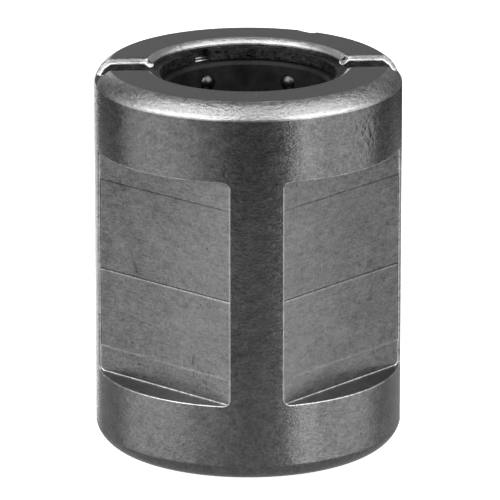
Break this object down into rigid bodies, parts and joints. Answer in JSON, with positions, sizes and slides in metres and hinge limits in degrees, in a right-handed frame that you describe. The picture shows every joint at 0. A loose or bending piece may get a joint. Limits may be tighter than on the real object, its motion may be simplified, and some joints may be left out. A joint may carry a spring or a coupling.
{
  "type": "linear ball bushing",
  "caption": "Stroke-type linear ball bushing: thick steel sleeve with milled flats, a cross slot and a sliding ball cage.",
  "frame": {"origin": "centre of the lower end face, on the bore axis", "axes": "+Z along the bore axis towards the end with the cross slot; the slot runs along X; the lands between the milled windows face +X, -X, +Y and -Y"},
  "size_m": [0.032, 0.032, 0.0403],
  "materials": {
    "sleeve_steel": "dark hardened steel, turned ends and milled windows, satin with fine grain",
    "ring_steel": "blackened spring steel",
    "cage_plastic": "black moulded plastic, slightly oily",
    "ball_steel": "polished hardened steel with an oil film"
  },
  "bodies": {
    "sleeve": {"outer_sleeve": "sleeve_steel", "upper_stop_ring": "ring_steel", "lower_stop_ring": "ring_steel"},
    "cage": {"ball_cage": "cage_plastic"},
    "ball_1_1": {"ball_row1_pos1": "ball_steel"},
    "ball_1_2": {"ball_row1_pos2": "ball_steel"},
    "ball_1_3": {"ball_row1_pos3": "ball_steel"},
    "ball_1_4": {"ball_row1_pos4": "ball_steel"},
    "ball_1_5": {"ball_row1_pos5": "ball_steel"},
    "ball_1_6": {"ball_row1_pos6": "ball_steel"},
    "ball_2_1": {"ball_row2_pos1": "ball_steel"},
    "ball_2_2": {"ball_row2_pos2": "ball_steel"},
    "ball_2_3": {"ball_row2_pos3": "ball_steel"},
    "ball_2_4": {"ball_row2_pos4": "ball_steel"},
    "ball_2_5": {"ball_row2_pos5": "ball_steel"},
    "ball_2_6": {"ball_row2_pos6": "ball_steel"},
    "ball_3_1": {"ball_row3_pos1": "ball_steel"},
    "ball_3_2": {"ball_row3_pos2": "ball_steel"},
    "ball_3_3": {"ball_row3_pos3": "ball_steel"},
    "ball_3_4": {"ball_row3_pos4": "ball_steel"},
    "ball_3_5": {"ball_row3_pos5": "ball_steel"},
    "ball_3_6": {"ball_row3_pos6": "ball_steel"},
    "ball_4_1": {"ball_row4_pos1": "ball_steel"},
    "ball_4_2": {"ball_row4_pos2": "ball_steel"},
    "ball_4_3": {"ball_row4_pos3": "ball_steel"},
    "ball_4_4": {"ball_row4_pos4": "ball_steel"},
    "ball_4_5": {"ball_row4_pos5": "ball_steel"},
    "ball_4_6": {"ball_row4_pos6": "ball_steel"},
    "ball_5_1": {"ball_row5_pos1": "ball_steel"},
    "ball_5_2": {"ball_row5_pos2": "ball_steel"},
    "ball_5_3": {"ball_row5_pos3": "ball_steel"},
    "ball_5_4": {"ball_row5_pos4": "ball_steel"},
    "ball_5_5": {"ball_row5_pos5": "ball_steel"},
    "ball_5_6": {"ball_row5_pos6": "ball_steel"},
    "ball_6_1": {"ball_row6_pos1": "ball_steel"},
    "ball_6_2": {"ball_row6_pos2": "ball_steel"},
    "ball_6_3": {"ball_row6_pos3": "ball_steel"},
    "ball_6_4": {"ball_row6_pos4": "ball_steel"},
    "ball_6_5": {"ball_row6_pos5": "ball_steel"},
    "ball_6_6": {"ball_row6_pos6": "ball_steel"},
    "ball_7_1": {"ball_row7_pos1": "ball_steel"},
    "ball_7_2": {"ball_row7_pos2": "ball_steel"},
    "ball_7_3": {"ball_row7_pos3": "ball_steel"},
    "ball_7_4": {"ball_row7_pos4": "ball_steel"},
    "ball_7_5": {"ball_row7_pos5": "ball_steel"},
    "ball_7_6": {"ball_row7_pos6": "ball_steel"},
    "ball_8_1": {"ball_row8_pos1": "ball_steel"},
    "ball_8_2": {"ball_row8_pos2": "ball_steel"},
    "ball_8_3": {"ball_row8_pos3": "ball_steel"},
    "ball_8_4": {"ball_row8_pos4": "ball_steel"},
    "ball_8_5": {"ball_row8_pos5": "ball_steel"},
    "ball_8_6": {"ball_row8_pos6": "ball_steel"},
    "ball_9_1": {"ball_row9_pos1": "ball_steel"},
    "ball_9_2": {"ball_row9_pos2": "ball_steel"},
    "ball_9_3": {"ball_row9_pos3": "ball_steel"},
    "ball_9_4": {"ball_row9_pos4": "ball_steel"},
    "ball_9_5": {"ball_row9_pos5": "ball_steel"},
    "ball_9_6": {"ball_row9_pos6": "ball_steel"}
  },
  "joints": [
    {"name": "cage_slide", "type": "slide", "parent": "sleeve", "child": "cage", "axis": [0, 0, 1], "range_m": [-0.0121, 0]},
    {"name": "ball_1_1_roll", "type": "hinge", "parent": "cage", "child": "ball_1_1", "pos_m": [0.00491, 0.00756, 0.03621], "axis": [-0.8387, 0.5446, 0], "range_deg": [-700, 10]},
    {"name": "ball_1_2_roll", "type": "hinge", "parent": "cage", "child": "ball_1_2", "pos_m": [-0.00409, 0.00803, 0.03621], "axis": [-0.891, -0.454, 0], "range_deg": [-700, 10]},
    {"name": "ball_1_3_roll", "type": "hinge", "parent": "cage", "child": "ball_1_3", "pos_m": [-0.009, 0.00047, 0.03621], "axis": [-0.0523, -0.9986, 0], "range_deg": [-700, 10]},
    {"name": "ball_1_4_roll", "type": "hinge", "parent": "cage", "child": "ball_1_4", "pos_m": [-0.00491, -0.00756, 0.03621], "axis": [0.8387, -0.5446, 0], "range_deg": [-700, 10]},
    {"name": "ball_1_5_roll", "type": "hinge", "parent": "cage", "child": "ball_1_5", "pos_m": [0.00409, -0.00803, 0.03621], "axis": [0.891, 0.454, 0], "range_deg": [-700, 10]},
    {"name": "ball_1_6_roll", "type": "hinge", "parent": "cage", "child": "ball_1_6", "pos_m": [0.009, -0.00047, 0.03621], "axis": [0.0523, 0.9986, 0], "range_deg": [-700, 10]},
    {"name": "ball_2_1_roll", "type": "hinge", "parent": "cage", "child": "ball_2_1", "pos_m": [0.004, 0.00808, 0.03371], "axis": [-0.8962, 0.4436, 0], "range_deg": [-700, 10]},
    {"name": "ball_2_2_roll", "type": "hinge", "parent": "cage", "child": "ball_2_2", "pos_m": [-0.00499, 0.0075, 0.03371], "axis": [-0.8323, -0.5544, 0], "range_deg": [-700, 10]},
    {"name": "ball_2_3_roll", "type": "hinge", "parent": "cage", "child": "ball_2_3", "pos_m": [-0.00899, -0.00058, 0.03371], "axis": [0.064, -0.998, 0], "range_deg": [-700, 10]},
    {"name": "ball_2_4_roll", "type": "hinge", "parent": "cage", "child": "ball_2_4", "pos_m": [-0.004, -0.00808, 0.03371], "axis": [0.8962, -0.4436, 0], "range_deg": [-700, 10]},
    {"name": "ball_2_5_roll", "type": "hinge", "parent": "cage", "child": "ball_2_5", "pos_m": [0.00499, -0.0075, 0.03371], "axis": [0.8323, 0.5544, 0], "range_deg": [-700, 10]},
    {"name": "ball_2_6_roll", "type": "hinge", "parent": "cage", "child": "ball_2_6", "pos_m": [0.00899, 0.00058, 0.03371], "axis": [-0.064, 0.998, 0], "range_deg": [-700, 10]},
    {"name": "ball_3_1_roll", "type": "hinge", "parent": "cage", "child": "ball_3_1", "pos_m": [0.00303, 0.00848, 0.03121], "axis": [-0.9417, 0.3365, 0], "range_deg": [-700, 10]},
    {"name": "ball_3_2_roll", "type": "hinge", "parent": "cage", "child": "ball_3_2", "pos_m": [-0.00583, 0.00687, 0.03121], "axis": [-0.7623, -0.6472, 0], "range_deg": [-700, 10]},
    {"name": "ball_3_3_roll", "type": "hinge", "parent": "cage", "child": "ball_3_3", "pos_m": [-0.00886, -0.00162, 0.03121], "axis": [0.1794, -0.9838, 0], "range_deg": [-700, 10]},
    {"name": "ball_3_4_roll", "type": "hinge", "parent": "cage", "child": "ball_3_4", "pos_m": [-0.00303, -0.00848, 0.03121], "axis": [0.9417, -0.3365, 0], "range_deg": [-700, 10]},
    {"name": "ball_3_5_roll", "type": "hinge", "parent": "cage", "child": "ball_3_5", "pos_m": [0.00583, -0.00687, 0.03121], "axis": [0.7623, 0.6472, 0], "range_deg": [-700, 10]},
    {"name": "ball_3_6_roll", "type": "hinge", "parent": "cage", "child": "ball_3_6", "pos_m": [0.00886, 0.00162, 0.03121], "axis": [-0.1794, 0.9838, 0], "range_deg": [-700, 10]},
    {"name": "ball_4_1_roll", "type": "hinge", "parent": "cage", "child": "ball_4_1", "pos_m": [0.00203, 0.00878, 0.02871], "axis": [-0.9744, 0.225, 0], "range_deg": [-700, 10]},
    {"name": "ball_4_2_roll", "type": "hinge", "parent": "cage", "child": "ball_4_2", "pos_m": [-0.00659, 0.00614, 0.02871], "axis": [-0.682, -0.7314, 0], "range_deg": [-700, 10]},
    {"name": "ball_4_3_roll", "type": "hinge", "parent": "cage", "child": "ball_4_3", "pos_m": [-0.00862, -0.00263, 0.02871], "axis": [0.2924, -0.9563, 0], "range_deg": [-700, 10]},
    {"name": "ball_4_4_roll", "type": "hinge", "parent": "cage", "child": "ball_4_4", "pos_m": [-0.00203, -0.00878, 0.02871], "axis": [0.9744, -0.225, 0], "range_deg": [-700, 10]},
    {"name": "ball_4_5_roll", "type": "hinge", "parent": "cage", "child": "ball_4_5", "pos_m": [0.00659, -0.00614, 0.02871], "axis": [0.682, 0.7314, 0], "range_deg": [-700, 10]},
    {"name": "ball_4_6_roll", "type": "hinge", "parent": "cage", "child": "ball_4_6", "pos_m": [0.00862, 0.00263, 0.02871], "axis": [-0.2924, 0.9563, 0], "range_deg": [-700, 10]},
    {"name": "ball_5_1_roll", "type": "hinge", "parent": "cage", "child": "ball_5_1", "pos_m": [0.00099, 0.00896, 0.02621], "axis": [-0.9939, 0.1103, 0], "range_deg": [-700, 10]},
    {"name": "ball_5_2_roll", "type": "hinge", "parent": "cage", "child": "ball_5_2", "pos_m": [-0.00726, 0.00534, 0.02621], "axis": [-0.5925, -0.8056, 0], "range_deg": [-700, 10]},
    {"name": "ball_5_3_roll", "type": "hinge", "parent": "cage", "child": "ball_5_3", "pos_m": [-0.00825, -0.00362, 0.02621], "axis": [0.4014, -0.9159, 0], "range_deg": [-700, 10]},
    {"name": "ball_5_4_roll", "type": "hinge", "parent": "cage", "child": "ball_5_4", "pos_m": [-0.00099, -0.00896, 0.02621], "axis": [0.9939, -0.1103, 0], "range_deg": [-700, 10]},
    {"name": "ball_5_5_roll", "type": "hinge", "parent": "cage", "child": "ball_5_5", "pos_m": [0.00726, -0.00534, 0.02621], "axis": [0.5925, 0.8056, 0], "range_deg": [-700, 10]},
    {"name": "ball_5_6_roll", "type": "hinge", "parent": "cage", "child": "ball_5_6", "pos_m": [0.00825, 0.00362, 0.02621], "axis": [-0.4014, 0.9159, 0], "range_deg": [-700, 10]},
    {"name": "ball_6_1_roll", "type": "hinge", "parent": "cage", "child": "ball_6_1", "pos_m": [-0.00005, 0.00901, 0.02371], "axis": [-1, -0.0058, 0], "range_deg": [-700, 10]},
    {"name": "ball_6_2_roll", "type": "hinge", "parent": "cage", "child": "ball_6_2", "pos_m": [-0.00783, 0.00446, 0.02371], "axis": [-0.495, -0.8689, 0], "range_deg": [-700, 10]},
    {"name": "ball_6_3_roll", "type": "hinge", "parent": "cage", "child": "ball_6_3", "pos_m": [-0.00778, -0.00455, 0.02371], "axis": [0.505, -0.8631, 0], "range_deg": [-700, 10]},
    {"name": "ball_6_4_roll", "type": "hinge", "parent": "cage", "child": "ball_6_4", "pos_m": [0.00005, -0.00901, 0.02371], "axis": [1, 0.0058, 0], "range_deg": [-700, 10]},
    {"name": "ball_6_5_roll", "type": "hinge", "parent": "cage", "child": "ball_6_5", "pos_m": [0.00783, -0.00446, 0.02371], "axis": [0.495, 0.8689, 0], "range_deg": [-700, 10]},
    {"name": "ball_6_6_roll", "type": "hinge", "parent": "cage", "child": "ball_6_6", "pos_m": [0.00778, 0.00455, 0.02371], "axis": [-0.505, 0.8631, 0], "range_deg": [-700, 10]},
    {"name": "ball_7_1_roll", "type": "hinge", "parent": "cage", "child": "ball_7_1", "pos_m": [-0.0011, 0.00894, 0.02121], "axis": [-0.9925, -0.1219, 0], "range_deg": [-700, 10]},
    {"name": "ball_7_2_roll", "type": "hinge", "parent": "cage", "child": "ball_7_2", "pos_m": [-0.00829, 0.00352, 0.02121], "axis": [-0.3907, -0.9205, 0], "range_deg": [-700, 10]},
    {"name": "ball_7_3_roll", "type": "hinge", "parent": "cage", "child": "ball_7_3", "pos_m": [-0.0072, -0.00542, 0.02121], "axis": [0.6018, -0.7986, 0], "range_deg": [-700, 10]},
    {"name": "ball_7_4_roll", "type": "hinge", "parent": "cage", "child": "ball_7_4", "pos_m": [0.0011, -0.00894, 0.02121], "axis": [0.9925, 0.1219, 0], "range_deg": [-700, 10]},
    {"name": "ball_7_5_roll", "type": "hinge", "parent": "cage", "child": "ball_7_5", "pos_m": [0.00829, -0.00352, 0.02121], "axis": [0.3907, 0.9205, 0], "range_deg": [-700, 10]},
    {"name": "ball_7_6_roll", "type": "hinge", "parent": "cage", "child": "ball_7_6", "pos_m": [0.0072, 0.00542, 0.02121], "axis": [-0.6018, 0.7986, 0], "range_deg": [-700, 10]},
    {"name": "ball_8_1_roll", "type": "hinge", "parent": "cage", "child": "ball_8_1", "pos_m": [-0.00213, 0.00875, 0.01871], "axis": [-0.9717, -0.2363, 0], "range_deg": [-700, 10]},
    {"name": "ball_8_2_roll", "type": "hinge", "parent": "cage", "child": "ball_8_2", "pos_m": [-0.00865, 0.00253, 0.01871], "axis": [-0.2812, -0.9596, 0], "range_deg": [-700, 10]},
    {"name": "ball_8_3_roll", "type": "hinge", "parent": "cage", "child": "ball_8_3", "pos_m": [-0.00652, -0.00622, 0.01871], "axis": [0.6905, -0.7234, 0], "range_deg": [-700, 10]},
    {"name": "ball_8_4_roll", "type": "hinge", "parent": "cage", "child": "ball_8_4", "pos_m": [0.00213, -0.00875, 0.01871], "axis": [0.9717, 0.2363, 0], "range_deg": [-700, 10]},
    {"name": "ball_8_5_roll", "type": "hinge", "parent": "cage", "child": "ball_8_5", "pos_m": [0.00865, -0.00253, 0.01871], "axis": [0.2812, 0.9596, 0], "range_deg": [-700, 10]},
    {"name": "ball_8_6_roll", "type": "hinge", "parent": "cage", "child": "ball_8_6", "pos_m": [0.00652, 0.00622, 0.01871], "axis": [-0.6905, 0.7234, 0], "range_deg": [-700, 10]},
    {"name": "ball_9_1_roll", "type": "hinge", "parent": "cage", "child": "ball_9_1", "pos_m": [-0.00313, 0.00845, 0.01621], "axis": [-0.9377, -0.3475, 0], "range_deg": [-700, 10]},
    {"name": "ball_9_2_roll", "type": "hinge", "parent": "cage", "child": "ball_9_2", "pos_m": [-0.00888, 0.00151, 0.01621], "axis": [-0.1679, -0.9858, 0], "range_deg": [-700, 10]},
    {"name": "ball_9_3_roll", "type": "hinge", "parent": "cage", "child": "ball_9_3", "pos_m": [-0.00575, -0.00694, 0.01621], "axis": [0.7698, -0.6383, 0], "range_deg": [-700, 10]},
    {"name": "ball_9_4_roll", "type": "hinge", "parent": "cage", "child": "ball_9_4", "pos_m": [0.00313, -0.00845, 0.01621], "axis": [0.9377, 0.3475, 0], "range_deg": [-700, 10]},
    {"name": "ball_9_5_roll", "type": "hinge", "parent": "cage", "child": "ball_9_5", "pos_m": [0.00888, -0.00151, 0.01621], "axis": [0.1679, 0.9858, 0], "range_deg": [-700, 10]},
    {"name": "ball_9_6_roll", "type": "hinge", "parent": "cage", "child": "ball_9_6", "pos_m": [0.00575, 0.00694, 0.01621], "axis": [-0.7698, 0.6383, 0], "range_deg": [-700, 10]}
  ],
  "couplings": [
    {"joint": "ball_1_1_roll", "follows": "cage_slide", "rad_per_m": 1000},
    {"joint": "ball_1_2_roll", "follows": "cage_slide", "rad_per_m": 1000},
    {"joint": "ball_1_3_roll", "follows": "cage_slide", "rad_per_m": 1000},
    {"joint": "ball_1_4_roll", "follows": "cage_slide", "rad_per_m": 1000},
    {"joint": "ball_1_5_roll", "follows": "cage_slide", "rad_per_m": 1000},
    {"joint": "ball_1_6_roll", "follows": "cage_slide", "rad_per_m": 1000},
    {"joint": "ball_2_1_roll", "follows": "cage_slide", "rad_per_m": 1000},
    {"joint": "ball_2_2_roll", "follows": "cage_slide", "rad_per_m": 1000},
    {"joint": "ball_2_3_roll", "follows": "cage_slide", "rad_per_m": 1000},
    {"joint": "ball_2_4_roll", "follows": "cage_slide", "rad_per_m": 1000},
    {"joint": "ball_2_5_roll", "follows": "cage_slide", "rad_per_m": 1000},
    {"joint": "ball_2_6_roll", "follows": "cage_slide", "rad_per_m": 1000},
    {"joint": "ball_3_1_roll", "follows": "cage_slide", "rad_per_m": 1000},
    {"joint": "ball_3_2_roll", "follows": "cage_slide", "rad_per_m": 1000},
    {"joint": "ball_3_3_roll", "follows": "cage_slide", "rad_per_m": 1000},
    {"joint": "ball_3_4_roll", "follows": "cage_slide", "rad_per_m": 1000},
    {"joint": "ball_3_5_roll", "follows": "cage_slide", "rad_per_m": 1000},
    {"joint": "ball_3_6_roll", "follows": "cage_slide", "rad_per_m": 1000},
    {"joint": "ball_4_1_roll", "follows": "cage_slide", "rad_per_m": 1000},
    {"joint": "ball_4_2_roll", "follows": "cage_slide", "rad_per_m": 1000},
    {"joint": "ball_4_3_roll", "follows": "cage_slide", "rad_per_m": 1000},
    {"joint": "ball_4_4_roll", "follows": "cage_slide", "rad_per_m": 1000},
    {"joint": "ball_4_5_roll", "follows": "cage_slide", "rad_per_m": 1000},
    {"joint": "ball_4_6_roll", "follows": "cage_slide", "rad_per_m": 1000},
    {"joint": "ball_5_1_roll", "follows": "cage_slide", "rad_per_m": 1000},
    {"joint": "ball_5_2_roll", "follows": "cage_slide", "rad_per_m": 1000},
    {"joint": "ball_5_3_roll", "follows": "cage_slide", "rad_per_m": 1000},
    {"joint": "ball_5_4_roll", "follows": "cage_slide", "rad_per_m": 1000},
    {"joint": "ball_5_5_roll", "follows": "cage_slide", "rad_per_m": 1000},
    {"joint": "ball_5_6_roll", "follows": "cage_slide", "rad_per_m": 1000},
    {"joint": "ball_6_1_roll", "follows": "cage_slide", "rad_per_m": 1000},
    {"joint": "ball_6_2_roll", "follows": "cage_slide", "rad_per_m": 1000},
    {"joint": "ball_6_3_roll", "follows": "cage_slide", "rad_per_m": 1000},
    {"joint": "ball_6_4_roll", "follows": "cage_slide", "rad_per_m": 1000},
    {"joint": "ball_6_5_roll", "follows": "cage_slide", "rad_per_m": 1000},
    {"joint": "ball_6_6_roll", "follows": "cage_slide", "rad_per_m": 1000},
    {"joint": "ball_7_1_roll", "follows": "cage_slide", "rad_per_m": 1000},
    {"joint": "ball_7_2_roll", "follows": "cage_slide", "rad_per_m": 1000},
    {"joint": "ball_7_3_roll", "follows": "cage_slide", "rad_per_m": 1000},
    {"joint": "ball_7_4_roll", "follows": "cage_slide", "rad_per_m": 1000},
    {"joint": "ball_7_5_roll", "follows": "cage_slide", "rad_per_m": 1000},
    {"joint": "ball_7_6_roll", "follows": "cage_slide", "rad_per_m": 1000},
    {"joint": "ball_8_1_roll", "follows": "cage_slide", "rad_per_m": 1000},
    {"joint": "ball_8_2_roll", "follows": "cage_slide", "rad_per_m": 1000},
    {"joint": "ball_8_3_roll", "follows": "cage_slide", "rad_per_m": 1000},
    {"joint": "ball_8_4_roll", "follows": "cage_slide", "rad_per_m": 1000},
    {"joint": "ball_8_5_roll", "follows": "cage_slide", "rad_per_m": 1000},
    {"joint": "ball_8_6_roll", "follows": "cage_slide", "rad_per_m": 1000},
    {"joint": "ball_9_1_roll", "follows": "cage_slide", "rad_per_m": 1000},
    {"joint": "ball_9_2_roll", "follows": "cage_slide", "rad_per_m": 1000},
    {"joint": "ball_9_3_roll", "follows": "cage_slide", "rad_per_m": 1000},
    {"joint": "ball_9_4_roll", "follows": "cage_slide", "rad_per_m": 1000},
    {"joint": "ball_9_5_roll", "follows": "cage_slide", "rad_per_m": 1000},
    {"joint": "ball_9_6_roll", "follows": "cage_slide", "rad_per_m": 1000}
  ]
}
